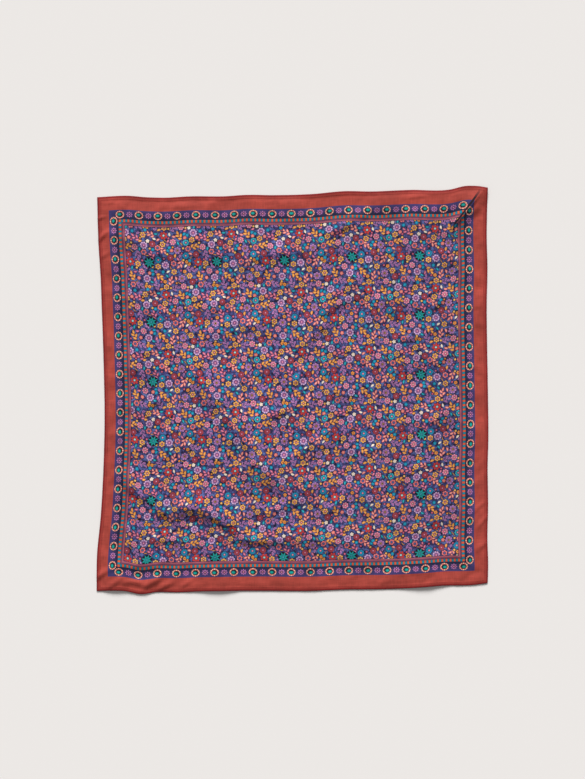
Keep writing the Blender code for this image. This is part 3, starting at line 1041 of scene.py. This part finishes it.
def makeCloth():
    acrossLines, upLines = clothLines(scarf["width"]), clothLines(scarf["length"])
    cells = len(acrossLines) - 1
    piece, column, row = addGrid("scarfCloth", cells, cells)
    across, up = acrossLines[column], upLines[row]
    layUv(piece, across, up)
    points, _ = clothUnderside(across, up)
    putPoints(piece, points)
    thicken(piece, scarf["clothThickness"])
    layBakeMap(piece, cells)

    # the shell's second skin is the underside: it gets the paler back of the print
    mesh = piece.data
    back = mesh.attributes.new("backOfCloth", "FLOAT", "FACE")
    back.data.foreach_set("value", (slopesUp(mesh) < 0).astype(np.float32))
    mesh.materials.append(printedCotton())
    return piece


scarfCloth = makeCloth()
print("cloth:", len(scarfCloth.data.polygons), "faces")

# the turned edge under the cloth, one tape for each side
tape = {"inset": 0.55, "width": 4.7, "cells": 4, "sideGap": 0.3, "roughness": 0.8}
tapeCotton = plainCotton("hemCotton", "red", "deepRed", tape["roughness"])


def makeTape(name, side, trim):
    alongLines = np.linspace(trim, 1 - trim, cloth["cells"])
    level = side in ("top", "bottom")
    inward = np.linspace(tape["inset"], tape["inset"] + tape["width"], tape["cells"] + 1)
    inward /= scarf["length" if level else "width"]
    if side in ("top", "right"):
        inward = 1 - inward[::-1]
    if level:  # it runs across
        piece, column, row = addGrid(name, len(alongLines) - 1, tape["cells"])
        across, up = alongLines[column], inward[row]
    else:
        piece, column, row = addGrid(name, tape["cells"], len(alongLines) - 1)
        across, up = inward[column], alongLines[row]
    layUv(piece, across, up)
    points, ground = clothUnderside(across, up)
    points[:, 2] = ground
    putPoints(piece, points)
    thicken(piece, scarf["tapeThickness"] - scarf["clearance"])
    piece.data.materials.append(tapeCotton)
    return piece


sideTrim = (scarf["hemWidth"] + tape["sideGap"]) / scarf["length"]
endTrim = tape["inset"] / scarf["width"]
tapes = {
    "hem_top": makeTape("hemTop", "top", endTrim),
    "hem_right": makeTape("hemRight", "right", sideTrim),
    "hem_bottom": makeTape("hemBottom", "bottom", endTrim),
    "hem_left": makeTape("hemLeft", "left", sideTrim),
}
print("hem tapes:", len(tapes))

# one row of stitches all round, seen on the face and on the back
stitch = {
    "length": 2.2,
    "gap": 0.4,
    "thick": 0.32,
    "segments": 6,
    "rings": 6,
    "blunt": 0.7,  # 1 is a plain oval, and less is blunter
    "bow": 0.12,
    "proud": 0.02,
    "roughness": 0.6,
}


def stitchPlaces():
    # shares of the stitch line's places, a stitch and a gap apart, side by side round the scarf
    inset, step = hemShape["stitchInset"], stitch["length"] + stitch["gap"]
    spots = []
    for side in range(4):
        size, other = scarf["width"], scarf["length"]
        if side % 2:
            size, other = other, size
        count = int((size - 2 * inset) / step)
        half = stitch["length"] / 2 / size
        off = inset / other if side < 2 else 1 - inset / other
        for i in range(count):
            run = (inset + (i + 0.5) * (size - 2 * inset) / count) / size
            spot = [(run, off), (run - half, off), (run + half, off)]
            spots.append([place[::-1] for place in spot] if side % 2 else spot)
    return np.array(spots)


def makeStitches():
    bpy.ops.object.select_all(action="DESELECT")
    bpy.ops.mesh.primitive_uv_sphere_add(segments=stitch["segments"], ring_count=stitch["rings"], radius=1)
    piece = bpy.context.object
    piece.name = piece.data.name = "hemStitches"
    bpy.ops.object.mode_set(mode="EDIT")
    bpy.ops.mesh.select_all(action="SELECT")
    bpy.ops.transform.rotate(value=math.pi / 2, orient_axis="Y", center_override=(0, 0, 0))
    bpy.ops.object.mode_set(mode="OBJECT")
    one = np.array([v.co for v in piece.data.vertices])
    # sorted, because the sphere's faces come in another order each time
    faces = sorted(tuple(p.vertices) for p in piece.data.polygons)
    # a plump thread with blunt ends that dive into the cloth
    one[:, 0] = np.sign(one[:, 0]) * np.abs(one[:, 0]) ** stitch["blunt"] * stitch["length"] / 2
    one[:, 1:] *= stitch["thick"] / 2
    one[:, 2] -= (one[:, 0] / (stitch["length"] / 2)) ** 2 * stitch["bow"]

    spots = stitchPlaces()
    points, allFaces, uvs = [], [], []
    ends = [clothUnderside(spots[:, k, 0], spots[:, k, 1])[0] for k in range(3)]
    for flip, thickness in ((1, scarf["clothThickness"]), (-1, scarf["tapeThickness"])):
        for centre, start, end, share in zip(*ends, spots[:, 0]):
            run = (end - start) / np.linalg.norm(end - start)
            side = np.cross((0, 0, 1), run)
            side /= np.linalg.norm(side)
            turned = np.array((run, side, np.cross(run, side)))
            place = centre + np.array((0, 0, flip * (thickness + stitch["proud"])))
            place[2] = max(place[2], 0.0)
            first = len(points)
            points += list(one * (1, 1, flip) @ turned + place)
            allFaces += [tuple(first + i for i in face[::flip]) for face in faces]
            uvs += [share] * len(one)
    mesh = piece.data
    mesh.clear_geometry()
    mesh.from_pydata([tuple(p * mm) for p in points], [], allFaces)
    mesh.update()
    uvs = np.array(uvs)
    layUv(piece, uvs[:, 0], uvs[:, 1])
    selectOnly(piece)
    bpy.ops.object.shade_smooth()
    mesh.materials.append(plainCotton("hemThread", "red", "deepRed", stitch["roughness"]))
    return piece


hemStitches = makeStitches()
print("stitches:", len(hemStitches.data.polygons), "faces")

# floor, light and camera
studio = {
    "floorSize": 40.0,
    "floorDrop": 0.3,  # mm under the scarf
    "floorColour": (0.813, 0.783, 0.760, 1),
    "floorRoughness": 0.9,
    "floorSpecular": 0.1,
    "sunFrom": 32,  # degrees above the ground, from the top of the picture
    "sunTurn": 2,  # degrees toward the left
    "sunSoft": 28,
    "sunStrength": 4.4,
    "skyStrength": 0.29,
    "pictureHeight": 1.0957,  # metres of ground from the picture's top to its bottom
    "pictureMiddle": (0.2, 1.0),  # mm, before the scarf's own middle is taken off
    "lens": 85,
    "sensor": 36,
    "farthest": 50,
}


def makeStudio():
    bpy.ops.object.select_all(action="DESELECT")
    bpy.ops.mesh.primitive_plane_add(size=studio["floorSize"], location=(0, 0, -studio["floorDrop"] * mm))
    floor = bpy.context.object
    floor.name = "floor"
    material, _, shader = newMaterial("palePaper", studio["floorRoughness"], studio["floorSpecular"])
    shader.inputs["Base Color"].default_value = studio["floorColour"]
    floor.data.materials.append(material)

    scene = bpy.context.scene
    scene.view_settings.view_transform = "Standard"
    world = bpy.data.worlds.new("softRoom")
    world.use_nodes = True
    sky = world.node_tree.nodes["Background"]
    sky.inputs["Color"].default_value = (1.0, 1.0, 1.0, 1)
    sky.inputs["Strength"].default_value = studio["skyStrength"]
    scene.world = world

    tilt, turn = math.radians(studio["sunFrom"] - 90), math.radians(studio["sunTurn"])
    bpy.ops.object.light_add(type="SUN", rotation=(tilt, 0, turn))
    sun = bpy.context.object
    sun.data.energy = studio["sunStrength"]
    sun.data.angle = math.radians(studio["sunSoft"])

    distance = studio["pictureHeight"] * studio["lens"] / studio["sensor"]
    place = [(p - m) * mm for p, m in zip(studio["pictureMiddle"], middle)]
    bpy.ops.object.camera_add(location=(*place, distance), rotation=(0, 0, 0))
    camera = bpy.context.object
    camera.data.sensor_width = studio["sensor"]
    camera.data.lens = studio["lens"]
    camera.data.clip_end = studio["farthest"]
    scene.camera = camera


makeStudio()
print("studio ready")

# what each piece is and rides on
for piece in (scarfCloth, hemStitches, *tapes.values()):
    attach(piece, "root")
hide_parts("panel")
for node, piece in tapes.items():
    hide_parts(node)

bpy.context.view_layer.update()
